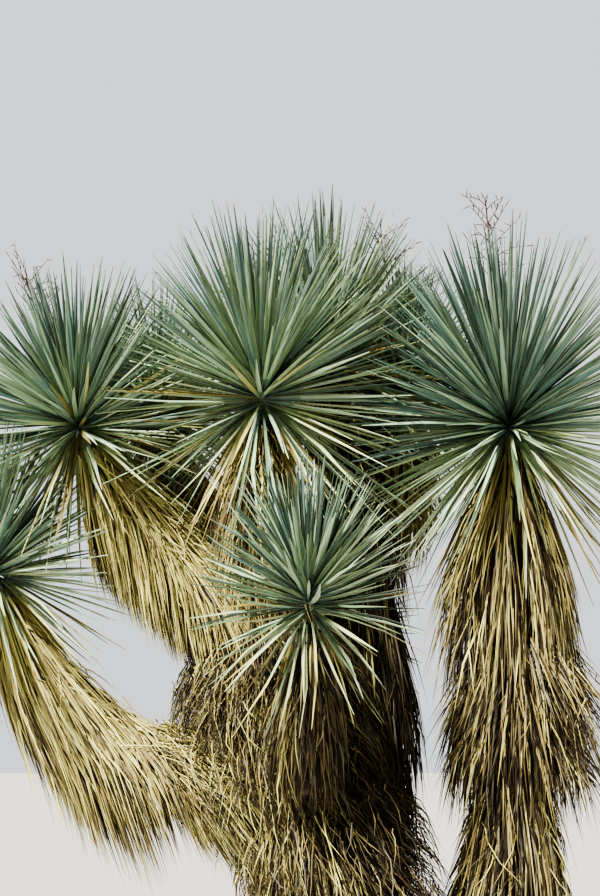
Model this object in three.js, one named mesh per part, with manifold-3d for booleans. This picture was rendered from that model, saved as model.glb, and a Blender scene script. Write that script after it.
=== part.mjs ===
// A blue yucca 3.3 m tall: a forked trunk and its limbs, nine heads of stiff dagger leaves at their
// tips, the skirts of dead leaves that hang from every limb below its head, and the dried flower
// stalks that still stand in three heads.
// Millimetres, +Z up. The origin is the middle of the flat cut under the trunk, at ground level.

import * as THREE from "three";
import { mergeVertices } from "three/addons/utils/BufferGeometryUtils.js";
import Module from "manifold-3d";

const wasm = await Module();
wasm.setup();

// Clear space that a piece keeps to its neighbours, and that a leaf keeps to them.
const gap = 0.35;
const leafGap = 1;

// The golden angle sets each leaf round its stem from the one before it.
const goldenAngle = Math.PI * (3 - Math.sqrt(5));

// Each limb: the points that it grows through, from inside the limb that it stands on, and its
// radius at the root and at the tip. The trunk starts below ground level, where it is cut flat.
const limbs = {
  trunk: {
    through: [[2, 0, -70], [-25, 0, 500], [-75, 5, 1150], [-170, 0, 1550], [-262, -40, 1960]],
    root: 118, tip: 60, sides: 15, rings: 12,
  },
  right_stem: {
    through: [[-10, 0, 520], [190, -15, 790], [355, -45, 1110], [405, -66, 1600], [430, -70, 2405]],
    root: 76, tip: 42, sides: 8, rings: 9,
  },
  back_stem: {
    through: [[-60, 20, 1000], [-10, 160, 1340], [20, 195, 1800], [0, 215, 2250], [-85, 220, 2670]],
    root: 68, tip: 40, sides: 8, rings: 8,
  },
  centre_limb: {
    through: [[-262, -40, 1940], [-285, -85, 2200], [-279, -108, 2470]],
    root: 59, tip: 40, sides: 8, rings: 3,
  },
  left_high_limb: {
    through: [
      [-215, -20, 1790], [-400, -42, 1985], [-570, -52, 2165], [-700, -58, 2300], [-780, -60, 2410],
    ],
    root: 54, tip: 38, sides: 8, rings: 5,
  },
  left_low_limb_inner: {
    through: [[-120, 0, 1420], [-330, -15, 1525], [-590, -30, 1588]],
    root: 60, tip: 48, sides: 8, rings: 5,
  },
  left_low_limb_outer: {
    through: [[-590, -30, 1588], [-740, -42, 1640], [-890, -55, 1790], [-1000, -60, 1995]],
    root: 48, tip: 37, sides: 8, rings: 5,
  },
  front_limb: {
    through: [[-135, -20, 1420], [-155, -230, 1540], [-152, -370, 1710], [-150, -420, 1862]],
    root: 46, tip: 34, sides: 8, rings: 6,
  },
  left_back_limb: {
    through: [[-200, 10, 1700], [-370, 160, 2020], [-530, 285, 2310], [-607, 336, 2545]],
    root: 50, tip: 36, sides: 8, rings: 4,
  },
  right_back_limb: {
    through: [[15, 205, 2040], [95, 262, 2300], [143, 298, 2615]],
    root: 46, tip: 36, sides: 8, rings: 4,
  },
  low_back_limb: {
    through: [[5, 170, 1440], [-20, 360, 1570], [-72, 470, 1760], [-95, 505, 1900]],
    root: 46, tip: 34, sides: 8, rings: 6,
  },
};

// A limb tapers fastest near its root. The trunk spreads at its foot into shallow lobes that fade
// with height.
const taper = 0.8;
const flare = { radius: 85, height: 130, lobes: 5, depth: 0.16 };

// Each head of live leaves: the limb that it ends, how far its leaves reach, how many there are,
// and how much its axis is turned from the limb's own direction, as a vector added to it.
const heads = {
  head_right: { limb: "right_stem", reach: 632, leaves: 58, turn: [-0.13, -0.05, 0] },
  head_centre: { limb: "centre_limb", reach: 602, leaves: 58, turn: [0, -0.1, 0] },
  head_back_centre: { limb: "back_stem", reach: 588, leaves: 54, turn: [0.12, 0.05, 0.2] },
  head_left_high: { limb: "left_high_limb", reach: 515, leaves: 54, turn: [0, -0.1, 0.9] },
  head_left_low: { limb: "left_low_limb_outer", reach: 470, leaves: 52, turn: [0, -0.1, 0.4] },
  head_left_back: { limb: "left_back_limb", reach: 470, leaves: 50, turn: [0, 0.1, 0.4] },
  head_right_back: { limb: "right_back_limb", reach: 455, leaves: 50, turn: [0.05, 0.1, 0] },
  head_front: { limb: "front_limb", reach: 395, leaves: 50, turn: [0, -0.12, 0.2] },
  head_low_back: { limb: "low_back_limb", reach: 400, leaves: 46, turn: [0, 0.3, 0.2] },
};

// The bud that a head's leaves stand on: its height, its radius at the foot, the belly and the
// neck, how far its leaves are rooted from its axis, and the shares of its height where the first
// and the last of them are.
const bud = {
  height: 165, foot: 43, belly: 50, bellyAt: 0.4, neck: 30, neckAt: 0.8, sides: 8,
  rootedAt: 12, firstLeaf: 0.14, lastLeaf: 0.78,
};

// A live leaf: its width and thickness, the steepest and the lowest rise above the head's level in
// radians, how strongly leaves crowd upwards, how unevenly they are turned, how much they differ in
// length, the share of the head's leaves that droop, and by how much of their length the lowest one
// does.
const liveLeaf = {
  width: 39, thick: 8.5, steepest: 1.5, lowest: -1.2, crowding: 0.5, uneven: 0.25, variety: 0.1,
  limp: 0.4, droop: 0.06,
};

// How long a leaf is beside its head's reach: the climb of its direction, from -1 for straight down
// to 1 for straight up, and its share of the reach.
const shareByClimb = [[-1, 0.8], [-0.55, 0.86], [-0.1, 0.78], [0.25, 0.77], [0.7, 0.82], [0.9, 0.95], [1, 1]];

// Each skirt of dead leaves: the stretch of its limb that it covers, from the upper end to the
// lower one as shares of the limb's length, its core's radius at the lower end, and its leaves. Some
// bulge to one side, by a share of the radius, and swell or hang otherwise than the rest.
const skirts = {
  skirt_right_upper: {
    limb: "right_stem", from: 0.99, to: 0.765, radius: 146, reach: 430, leaves: 22, bulge: [-0.35, 0, 0],
  },
  skirt_right_middle: {
    limb: "right_stem", from: 0.775, to: 0.6, radius: 162, reach: 360, leaves: 20, bulge: [0.5, -0.15, 0],
  },
  skirt_right_lower: { limb: "right_stem", from: 0.6, to: 0.21, radius: 165, reach: 430, leaves: 24 },
  skirt_centre: { limb: "centre_limb", from: 0.98, to: 0.12, radius: 130, reach: 360, leaves: 18 },
  skirt_left_high: {
    limb: "left_high_limb", from: 0.98, to: 0.12, radius: 132, reach: 350, leaves: 24, hang: 1.4,
  },
  skirt_left_low_outer: {
    limb: "left_low_limb_outer", from: 0.98, to: 0, radius: 122, reach: 380, leaves: 24, hang: 0.6,
  },
  skirt_left_low_inner: {
    limb: "left_low_limb_inner", from: 1, to: 0.3, radius: 132, reach: 340, leaves: 14, hang: 0.6,
  },
  skirt_front: { limb: "front_limb", from: 0.98, to: 0.45, radius: 96, reach: 250, leaves: 16 },
  skirt_back_upper: { limb: "back_stem", from: 0.99, to: 0.69, radius: 128, reach: 400, leaves: 18 },
  skirt_back_lower: { limb: "back_stem", from: 0.7, to: 0.2, radius: 158, reach: 420, leaves: 24 },
  skirt_left_back: { limb: "left_back_limb", from: 0.98, to: 0.3, radius: 118, reach: 380, leaves: 18 },
  skirt_right_back: {
    limb: "right_back_limb", from: 0.98, to: 0.4, radius: 108, reach: 290, leaves: 14,
    bulge: [0.45, -0.2, 0],
  },
  skirt_low_back: { limb: "low_back_limb", from: 0.98, to: 0.3, radius: 96, reach: 330, leaves: 14 },
  skirt_trunk_upper: {
    limb: "trunk", from: 1, to: 0.77, radius: 215, reach: 320, leaves: 20, bulge: [-0.42, 0.1, 0],
    swellBy: 0.3,
  },
  skirt_trunk_middle: {
    limb: "trunk", from: 0.8, to: 0.5, radius: 235, reach: 360, leaves: 24, bulge: [0.18, -0.25, 0],
    swellBy: 0.3,
  },
  skirt_trunk_lower: { limb: "trunk", from: 0.51, to: 0.23, radius: 215, reach: 400, leaves: 24 },
};

// A skirt's core: how far its neck stands off the limb, the least that it swells by, the share of
// its length over which it swells, and how much of its radius is left at its lower rim.
const skirtCore = { neck: 17, swell: 8, swellBy: 0.75, rim: 0.9, sides: 8, rings: 3 };

// A dead leaf: its width and thickness, how far it spreads from the limb, how much that differs,
// the least it spreads by, how strongly it hangs from a level limb, and its droop and variety.
const deadLeaf = {
  width: 44, thick: 8, spread: 0.26, uneven: 0.14, least: 0.12, hang: 0.85, droop: 0.04, variety: 0.22,
};

// The dried flower stalks: the head that each one stands in, and the point that it leans to. A
// stalk stands beside its head's middle, and its twigs grow on the upper shares of its length.
const stalks = {
  stalk_right: { head: "head_right", to: [398, 40, 3210] },
  stalk_right_back: { head: "head_right_back", to: [95, 345, 3230] },
  stalk_left_high: { head: "head_left_high", to: [-985, -20, 2935] },
};
const stalkShape = {
  foot: 8, footAt: 0.6, tip: 3, beside: 16, bow: 20, sides: 5, rings: 4,
  twigs: 7, firstTwig: 0.62, lastTwig: 0.96, twigReach: [80, 130], twigRise: [0.9, 1.3], twigWidth: 8,
};

// Finishes: colour, roughness and metalness of each kind of piece.
const finishes = {
  bark: { color: 0x6f6150, roughness: 0.95, metalness: 0 },
  live: { color: 0x7f9c8e, roughness: 0.55, metalness: 0 },
  dead: { color: 0xc9ac6c, roughness: 0.85, metalness: 0 },
};

const mix = THREE.MathUtils.lerp;
const up = new THREE.Vector3(0, 0, 1);
const vector = (values) => new THREE.Vector3(...values);

// A repeatable stream of numbers from 0 to 1, started by a piece's name.
function randomFor(name) {
  let state = [...name].reduce((sum, letter) => sum * 31 + letter.codePointAt(0), 7) % 4294967296;
  return () => {
    state = (state * 1664525 + 1013904223) % 4294967296;
    return state / 4294967296;
  };
}

// A direction with its part along the axis taken out.
function crossways(direction, axis) {
  return direction.clone().addScaledVector(axis, -direction.dot(axis)).normalize();
}

// A closed geometry as a solid that can be joined and cut.
function solidFrom(geometry) {
  geometry.deleteAttribute("normal");
  geometry.deleteAttribute("uv");
  const merged = mergeVertices(geometry, 1e-3);
  const mesh = new wasm.Mesh({
    numProp: 3,
    vertProperties: merged.attributes.position.array,
    triVerts: new Uint32Array(merged.index.array),
  });
  return new wasm.Manifold(mesh);
}

// The largest body of a solid: loose scraps are dropped and sealed hollows are filled.
function largestBody(solid) {
  return solid.decompose().reduce((best, body) => (body.volume() > best.volume() ? body : best));
}

// A solid with its box, so that solids that are far apart need no cutting or testing.
const boxed = (solid) => ({ solid, box: solid.boundingBox() });

function boxesMeet(a, b) {
  return [0, 1, 2].every((axis) => a.min[axis] <= b.max[axis] && b.min[axis] <= a.max[axis]);
}

// What is left of a solid beside others.
function cutClear(whole, others) {
  const near = others.filter((other) => boxesMeet(whole.box, other.box));
  return boxed(largestBody(near.reduce((solid, other) => solid.subtract(other.solid), whole.solid)));
}

// A limb's centre line, with a frame at any share u of its length.
const frameSteps = 120;
function centreLine(points) {
  const curve = new THREE.CatmullRomCurve3(points);
  const frames = curve.computeFrenetFrames(frameSteps);
  return (u) => {
    const step = Math.round(u * frameSteps);
    return {
      point: curve.getPointAt(u),
      along: frames.tangents[step].clone(),
      side: frames.binormals[step].clone(),
      front: frames.normals[step].clone(),
    };
  };
}

// A round solid along a centre line: a cylinder whose rings are laid across the line. Its radius
// depends on the share u and the angle, sag moves a ring sideways, and grow fattens it all round.
function sweep({ line, from, to, radius, sag, sides, rings, grow }) {
  const geometry = new THREE.CylinderGeometry(1, 1, 1, sides, rings);
  const place = geometry.attributes.position;
  for (let i = 0; i < place.count; i++) {
    const u = mix(from, to, place.getY(i) + 0.5);
    const frame = line(u);
    const angle = Math.atan2(place.getX(i), place.getZ(i));
    const reach = Math.hypot(place.getX(i), place.getZ(i)) * (radius(u, angle) + grow);
    const end = u === from ? -1 : u === to ? 1 : 0;
    const spot = frame.point
      .addScaledVector(frame.side, Math.sin(angle) * reach)
      .addScaledVector(frame.front, Math.cos(angle) * reach)
      .addScaledVector(frame.along, end * grow)
      .addScaledVector(up, -sag(u));
    place.setXYZ(i, spot.x, spot.y, spot.z);
  }
  return solidFrom(geometry);
}

const noSag = () => 0;

// A limb's radius at a share u of its length.
function limbRadius(name, u, angle) {
  const { root, tip } = limbs[name];
  const plain = mix(root, tip, u ** taper);
  if (name !== "trunk") return plain;
  const fade = Math.exp(-Math.max(0, lines.trunk(u).point.z) / flare.height);
  return (plain + flare.radius * fade) * (1 + flare.depth * fade * Math.cos(flare.lobes * angle));
}

function limbSolid(name, grow) {
  const { sides, rings } = limbs[name];
  const radius = (u, angle) => limbRadius(name, u, angle);
  return boxed(sweep({ line: lines[name], from: 0, to: 1, radius, sag: noSag, sides, rings, grow }));
}

// A dagger leaf: a three-sided blade that tapers to its root and to its tip, with its keel
// underneath. Along and keel are its directions at the root, and droop is how far its tip sinks,
// as a share of its length. It is a sphere of three meridians, drawn out.
const leafMiddle = 0.36;
function leafSolid({ root, along, keel, length, width, thick, droop, grow }) {
  const geometry = new THREE.SphereGeometry(1, 3, 2, Math.PI / 2);
  const place = geometry.attributes.position;
  const flat = along.clone().cross(keel);
  for (let i = 0; i < place.count; i++) {
    const share = [0, leafMiddle, 1][Math.round(place.getY(i)) + 1];
    const across = place.getX(i) * (width / Math.sqrt(3) + grow);
    const depth = (place.getZ(i) * (thick + 2 * grow)) / 1.5;
    const spot = root.clone()
      .addScaledVector(along, share * length)
      .addScaledVector(flat, across)
      .addScaledVector(keel, depth)
      .addScaledVector(up, -droop * length * share * share);
    place.setXYZ(i, spot.x, spot.y, spot.z);
  }
  return boxed(solidFrom(geometry));
}

// A head's frame: it starts at its limb's tip and its axis is turned a little from the limb's.
function headFrame({ limb, turn }) {
  const end = lines[limb](1);
  const axis = end.along.clone().add(vector(turn)).normalize();
  const side = new THREE.Vector3(0, 1, 0).cross(axis).normalize();
  return { foot: end.point, limbAxis: end.along, axis, side, front: axis.clone().cross(side) };
}

// A head's core is a bud, turned on the lathe, cut flat where it meets the limb's tip, and bent
// from the limb's direction to the head's.
function budSolid(head, grow) {
  const frame = headFrame(head);
  const { height, foot, belly, bellyAt, neck, neckAt, sides } = bud;
  const profile = [
    [0, -grow], [foot + grow, -grow], [belly + grow, height * bellyAt], [neck + grow, height * neckAt],
    [0, height + grow],
  ];
  const geometry = new THREE.LatheGeometry(profile.map(([r, h]) => new THREE.Vector2(r, h)), sides);
  const place = geometry.attributes.position;
  for (let i = 0; i < place.count; i++) {
    const rise = place.getY(i);
    const lean = frame.limbAxis.clone().lerp(frame.axis, Math.max(0, rise) / height).normalize();
    const spot = frame.foot.clone()
      .addScaledVector(frame.limbAxis, gap)
      .addScaledVector(lean, rise)
      .addScaledVector(crossways(frame.side, lean), place.getX(i))
      .addScaledVector(crossways(frame.front, lean), place.getZ(i));
    place.setXYZ(i, spot.x, spot.y, spot.z);
  }
  return boxed(facingOut(geometry));
}

// A lathe's faces point in or out by its profile's sense, so they are turned to point out.
function facingOut(geometry) {
  const solid = solidFrom(geometry);
  if (solid.volume() > 0) return solid;
  const index = geometry.index.array;
  for (let i = 0; i < index.length; i += 3) [index[i + 1], index[i + 2]] = [index[i + 2], index[i + 1]];
  return solidFrom(geometry);
}

// The share of its head's reach that a leaf has, read off the table by its climb.
function reachShare(climb) {
  const next = Math.max(1, shareByClimb.findIndex(([value]) => value >= climb));
  const [[low, lowShare], [high, highShare]] = [shareByClimb[next - 1], shareByClimb[next]];
  return mix(lowShare, highShare, (climb - low) / (high - low));
}

// The leaves of a head, from the lowest and oldest to the steep young ones in its middle, spread
// over the ball that they make and a little closer towards its top.
function headLeaves(name) {
  const head = heads[name];
  const frame = headFrame(head);
  const random = randomFor(name);
  return Array.from({ length: head.leaves }, (_, i) => {
    const share = (i + 0.5) / head.leaves;
    const turn = i * goldenAngle + liveLeaf.uneven * (random() - 0.5);
    const climb = share * (1 + liveLeaf.crowding * (1 - share));
    const sine = mix(Math.sin(liveLeaf.lowest), Math.sin(liveLeaf.steepest), climb);
    const cosine = Math.sqrt(1 - sine * sine);
    const out = frame.side.clone().multiplyScalar(Math.cos(turn))
      .addScaledVector(frame.front, Math.sin(turn));
    const along = out.clone().multiplyScalar(cosine).addScaledVector(frame.axis, sine);
    const keel = out.clone().multiplyScalar(sine).addScaledVector(frame.axis, -cosine);
    const rise = bud.height * mix(bud.firstLeaf, bud.lastLeaf, share);
    const root = frame.foot.clone()
      .addScaledVector(frame.axis, rise)
      .addScaledVector(out, bud.rootedAt);
    const full = head.reach * (1 - liveLeaf.variety * random()) * reachShare(along.z);
    const length = full - rise * Math.max(0, sine) / 2;
    const droop = liveLeaf.droop * Math.max(0, 1 - share / liveLeaf.limp);
    return { root, along, keel, length, droop, width: liveLeaf.width, thick: liveLeaf.thick };
  });
}

// A skirt swells down its limb from a close neck, more on the side that it bulges to, and its core
// hangs a little below a limb that leans.
function skirtShape({ limb, from, to, radius: rimRadius, bulge = [0, 0, 0], swellBy = skirtCore.swellBy }) {
  const line = lines[limb];
  const neck = (u) => limbRadius(limb, u, 0) + skirtCore.neck;
  const plain = (u) => {
    const done = (u - from) / (to - from);
    const swelling = Math.sin((Math.min(1, done / swellBy) * Math.PI) / 2);
    const closing = u === to ? skirtCore.rim : 1;
    return Math.max(neck(u) + skirtCore.swell, mix(neck(u), rimRadius, swelling) * closing);
  };
  const radius = (u, angle) => {
    const { side, front } = line(u);
    const out = side.multiplyScalar(Math.sin(angle)).addScaledVector(front, Math.cos(angle));
    return plain(u) * (1 + Math.max(0, out.dot(vector(bulge))));
  };
  const sag = (u) => (plain(u) - neck(u)) * (1 - Math.abs(line(u).along.z));
  return { line, radius, sag };
}

function skirtSolid(skirt, grow) {
  const { sides, rings } = skirtCore;
  return boxed(sweep({ ...skirtShape(skirt), from: skirt.to, to: skirt.from, sides, rings, grow }));
}

// The leaves of a skirt point back down their limb, stand a little off it, and hang with gravity.
const skirtEnds = { first: 0.06, last: 0.92 };
function skirtLeaves(name) {
  const skirt = skirts[name];
  const { line, radius, sag } = skirtShape(skirt);
  const { hang = deadLeaf.hang } = skirt;
  const random = randomFor(name);
  return Array.from({ length: skirt.leaves }, (_, i) => {
    const share = mix(skirtEnds.first, skirtEnds.last, (i + 0.5) / skirt.leaves);
    const u = mix(skirt.from, skirt.to, share);
    const frame = line(u);
    const turn = i * goldenAngle + liveLeaf.uneven * (random() - 0.5);
    const out = frame.side.clone().multiplyScalar(Math.sin(turn))
      .addScaledVector(frame.front, Math.cos(turn));
    const along = frame.along.clone().multiplyScalar(-1)
      .addScaledVector(out, deadLeaf.spread + deadLeaf.uneven * random())
      .addScaledVector(up, -hang * (1 - Math.abs(frame.along.z)))
      .normalize();
    const short = deadLeaf.least - along.dot(out);
    if (short > 0) along.addScaledVector(out, short).normalize();
    const keel = crossways(out, along).negate();
    const root = frame.point.clone()
      .addScaledVector(up, -sag(u))
      .addScaledVector(out, radius(u, turn) - deadLeaf.thick);
    const length = skirt.reach * (1 - deadLeaf.variety * random());
    const { droop, width, thick } = deadLeaf;
    return { root, along, keel, length, droop, width, thick };
  });
}

// A dried flower stalk stands beside the middle of its head and carries a few short twigs.
function stalkSolid(name, grow) {
  const { head, to } = stalks[name];
  const { foot, footAt, tip, beside, bow, sides, rings } = stalkShape;
  const { twigs, firstTwig, lastTwig, twigReach, twigRise, twigWidth } = stalkShape;
  const frame = headFrame(heads[head]);
  const end = vector(to);
  const start = frame.foot.clone()
    .addScaledVector(frame.axis, bud.height * footAt)
    .addScaledVector(crossways(end.clone().sub(frame.foot), frame.axis), beside);
  const half = start.clone().lerp(end, 0.5).addScaledVector(frame.axis, bow);
  const line = centreLine([start, half, end]);
  const radius = (u) => mix(foot, tip, u);
  const random = randomFor(name);
  let whole = sweep({ line, from: 0, to: 1, radius, sag: noSag, sides, rings, grow });
  for (let i = 0; i < twigs; i++) {
    const at = line(mix(firstTwig, lastTwig, i / (twigs - 1)));
    const out = at.side.multiplyScalar(Math.cos(i * goldenAngle))
      .addScaledVector(at.front, Math.sin(i * goldenAngle));
    const along = out.clone().addScaledVector(at.along, mix(...twigRise, random())).normalize();
    const twig = leafSolid({
      root: at.point, along, keel: crossways(out, along), length: mix(...twigReach, random()),
      width: twigWidth, thick: twigWidth, droop: 0, grow,
    });
    whole = whole.add(twig.solid);
  }
  return boxed(whole);
}

// Centre lines first, because radii and heads are measured along them.
const lines = {};
for (const [name, { through }] of Object.entries(limbs)) lines[name] = centreLine(through.map(vector));

// Nothing of the plant reaches below the ground.
const groundDepth = 400;
const groundBlock = new THREE.BoxGeometry(2000, 2000, groundDepth).translate(0, 0, -groundDepth / 2);
const ground = boxed(solidFrom(groundBlock));

// Every limb is cut clear of the ones before it, so it stands on the one that it grows from.
const limbSolids = {};
const fatLimbs = [];
for (const name of Object.keys(limbs)) {
  limbSolids[name] = cutClear(limbSolid(name, 0), [ground, ...fatLimbs]);
  fatLimbs.push(limbSolid(name, gap));
}

const stalkSolids = {};
for (const name of Object.keys(stalks)) stalkSolids[name] = stalkSolid(name, 0);
const fatStalks = Object.keys(stalks).map((name) => stalkSolid(name, gap));

// Cores are cut clear of the limbs, of the stalks and of the cores before them.
const masses = {};
const fatCores = [];
for (const [name, head] of Object.entries(heads)) {
  masses[name] = { core: cutClear(budSolid(head, 0), [...fatStalks, ...fatCores]), leaves: [] };
  fatCores.push(budSolid(head, gap));
}
for (const [name, skirt] of Object.entries(skirts)) {
  masses[name] = { core: cutClear(skirtSolid(skirt, 0), [...fatLimbs, ...fatCores]), leaves: [] };
  fatCores.push(skirtSolid(skirt, gap));
}

// Whether a leaf would touch another piece or come close to the ground.
const groundClearance = 20;
function inTheWay(shape, others) {
  const fat = leafSolid({ ...shape, grow: leafGap });
  const near = others.filter((other) => boxesMeet(fat.box, other.box));
  const low = fat.box.min[2] < groundClearance;
  return low || near.some((other) => !fat.solid.intersect(other.solid).isEmpty());
}

// Leaves grow on one mass after the other. One that would be in another piece's way is tried
// shorter, and is left out if it still is.
const lengthShares = [1, 0.82, 0.64];
for (const [name, mass] of Object.entries(masses)) {
  const others = Object.values(masses).filter((other) => other !== mass)
    .flatMap((other) => [other.core, ...other.leaves])
    .concat(Object.values(limbSolids), Object.values(stalkSolids));
  for (const shape of name in heads ? headLeaves(name) : skirtLeaves(name)) {
    const fitting = lengthShares.map((share) => ({ ...shape, length: shape.length * share }))
      .find((leaf) => !inTheWay(leaf, others));
    if (fitting) mass.leaves.push(leafSolid({ ...fitting, grow: 0 }));
  }
}

// A solid as a named mesh with its finish.
function meshOf(name, solid, finish) {
  const { vertProperties, triVerts } = solid.getMesh();
  const geometry = new THREE.BufferGeometry();
  geometry.setAttribute("position", new THREE.BufferAttribute(new Float32Array(vertProperties), 3));
  geometry.setIndex(new THREE.BufferAttribute(new Uint32Array(triVerts), 1));
  geometry.computeVertexNormals();
  const mesh = new THREE.Mesh(geometry, new THREE.MeshStandardMaterial(finishes[finish]));
  mesh.name = name;
  return mesh;
}

const yucca = new THREE.Group();
for (const [name, { solid }] of Object.entries(limbSolids)) yucca.add(meshOf(name, solid, "bark"));
for (const [name, { solid }] of Object.entries(stalkSolids)) yucca.add(meshOf(name, solid, "bark"));
for (const [name, mass] of Object.entries(masses)) {
  const fused = mass.leaves.reduce((whole, leaf) => whole.add(leaf.solid), mass.core.solid);
  yucca.add(meshOf(name, largestBody(fused), name in heads ? "live" : "dead"));
}

export default yucca;
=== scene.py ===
import math

import bpy
import numpy as np
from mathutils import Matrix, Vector, noise


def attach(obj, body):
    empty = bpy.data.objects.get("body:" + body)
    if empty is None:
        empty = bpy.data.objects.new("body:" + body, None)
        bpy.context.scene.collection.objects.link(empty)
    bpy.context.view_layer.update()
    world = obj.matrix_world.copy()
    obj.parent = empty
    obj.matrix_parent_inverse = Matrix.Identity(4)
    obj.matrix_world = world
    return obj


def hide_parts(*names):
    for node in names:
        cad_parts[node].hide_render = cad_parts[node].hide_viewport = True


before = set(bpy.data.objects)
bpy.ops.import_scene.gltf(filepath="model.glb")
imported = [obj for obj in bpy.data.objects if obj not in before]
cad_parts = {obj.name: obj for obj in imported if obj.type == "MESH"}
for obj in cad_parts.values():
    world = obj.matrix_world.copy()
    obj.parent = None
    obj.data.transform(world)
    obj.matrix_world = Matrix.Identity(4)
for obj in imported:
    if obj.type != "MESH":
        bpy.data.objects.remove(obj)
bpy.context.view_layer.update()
print("frame loaded:", len(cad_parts), "nodes")
noise.seed_set(5)  # without it the bark's cracks would wander another way in each run

goldenAngle = math.pi * (3 - math.sqrt(5))  # the turn from one leaf to the next
up = np.array([0.0, 0.0, 1.0])
spanSteps = 60  # points drawn between two that a limb grows through
lineSteps = 240  # even steps that its centre line is then measured in
groundGap = .03  # the least height of a leaf's lowest point


def mix(a, b, share):
    return a + (b - a) * share


def unit(vectors):
    return vectors / np.maximum(np.linalg.norm(vectors, axis=-1, keepdims=True), 1e-9)


def dot(a, b):
    return np.sum(a * b, axis=-1, keepdims=True)


def crossways(vectors, axis):  # a direction with its part along the axis taken out
    return unit(vectors - axis * dot(vectors, axis))


def randomFor(name):  # every piece draws from a stream of its own
    return np.random.default_rng([ord(letter) for letter in name])


# Limbs: the points that each grows through, its radius at the root and the tip, and its bark's grid
limbs = {
    "trunk": {
        "through": [(.002, 0, -.07), (-.025, 0, .5), (-.075, .005, 1.15), (-.17, 0, 1.55),
                    (-.262, -.04, 1.96)],
        "root": .118, "tip": .060, "around": 200, "rows": 190, "footRows": 2.2,
    },
    "right_stem": {
        "through": [(-.01, 0, .52), (.19, -.015, .79), (.355, -.045, 1.11), (.405, -.066, 1.6),
                    (.43, -.07, 2.405)],
        "root": .076, "tip": .042, "around": 48, "rows": 100,
    },
    "back_stem": {
        "through": [(-.06, .02, 1.0), (-.01, .16, 1.34), (.02, .195, 1.8), (0, .215, 2.25),
                    (-.085, .22, 2.67)],
        "root": .068, "tip": .040, "around": 32, "rows": 90,
    },
    "centre_limb": {
        "through": [(-.262, -.04, 1.94), (-.285, -.085, 2.2), (-.279, -.108, 2.47)],
        "root": .059, "tip": .040, "around": 32, "rows": 40,
    },
    "left_high_limb": {
        "through": [(-.215, -.02, 1.79), (-.4, -.042, 1.985), (-.57, -.052, 2.165), (-.7, -.058, 2.3),
                    (-.78, -.06, 2.41)],
        "root": .054, "tip": .038, "around": 32, "rows": 56,
    },
    "left_low_limb_inner": {
        "through": [(-.12, 0, 1.42), (-.33, -.015, 1.525), (-.59, -.03, 1.588)],
        "root": .060, "tip": .048, "around": 32, "rows": 40,
    },
    "left_low_limb_outer": {
        "through": [(-.59, -.03, 1.588), (-.74, -.042, 1.64), (-.89, -.055, 1.79), (-1.0, -.06, 1.995)],
        "root": .048, "tip": .037, "around": 32, "rows": 48,
    },
    "front_limb": {
        "through": [(-.135, -.02, 1.42), (-.155, -.23, 1.54), (-.152, -.37, 1.71), (-.15, -.42, 1.862)],
        "root": .046, "tip": .034, "around": 32, "rows": 50,
    },
    "left_back_limb": {
        "through": [(-.2, .01, 1.7), (-.37, .16, 2.02), (-.53, .285, 2.31), (-.607, .336, 2.545)],
        "root": .050, "tip": .036, "around": 32, "rows": 60,
    },
    "right_back_limb": {
        "through": [(.015, .205, 2.04), (.095, .262, 2.3), (.143, .298, 2.615)],
        "root": .046, "tip": .036, "around": 32, "rows": 44,
    },
    "low_back_limb": {
        "through": [(.005, .17, 1.44), (-.02, .36, 1.57), (-.072, .47, 1.76), (-.095, .505, 1.9)],
        "root": .046, "tip": .034, "around": 32, "rows": 50,
    },
}
taper = 0.8  # below 1, a limb thins faster near its root
# The trunk's foot: how far it spreads and how high, the number of its lobes and their depth
flare = {"radius": .085, "height": .13, "lobes": 5, "depth": .16}


def smoothLine(through):  # a centripetal curve through the points, with a frame carried along it
    points = [np.array(point, float) for point in through]
    points = [2 * points[0] - points[1], *points, 2 * points[-1] - points[-2]]
    places = []
    share = np.linspace(0, 1, spanSteps, endpoint=False)[:, None]
    for before, start, end, after in zip(points, points[1:], points[2:], points[3:]):
        d0, d1, d2 = (math.sqrt(np.linalg.norm(gap)) for gap in (start - before, end - start, after - end))
        leave = ((start - before) / d0 - (end - before) / (d0 + d1) + (end - start) / d1) * d1
        arrive = ((end - start) / d1 - (after - start) / (d1 + d2) + (after - end) / d2) * d1
        places.append(start + leave * share + (3 * (end - start) - 2 * leave - arrive) * share**2
                      + (2 * (start - end) + leave + arrive) * share**3)
    places = np.vstack([*places, points[-2]])
    run = np.concatenate([[0], np.cumsum(np.linalg.norm(np.diff(places, axis=0), axis=1))])
    even = np.linspace(0, run[-1], lineSteps + 1)
    point = np.stack([np.interp(even, run, places[:, axis]) for axis in range(3)], axis=1)
    along = unit(np.gradient(point, axis=0))
    level = np.eye(3)[np.argmin(np.abs(along[0]))]
    front = [np.cross(along[0], unit(np.cross(along[0], level)))]
    for tangent in along[1:]:
        front.append(crossways(front[-1], tangent))
    front = np.array(front)
    side = np.cross(along, front)
    return {"point": point, "along": along, "front": front, "side": side, "length": run[-1]}


lines = {name: smoothLine(limb["through"]) for name, limb in limbs.items()}


def frameAt(line, u):  # the line's point and directions at shares u of its length
    place = np.clip(np.asarray(u, float), 0, 1) * lineSteps
    low = np.minimum(place.astype(int), lineSteps - 1)
    share = (place - low)[..., None]
    keys = ("point", "along", "side", "front")
    return {key: mix(line[key][low], line[key][low + 1], share) for key in keys}


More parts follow.
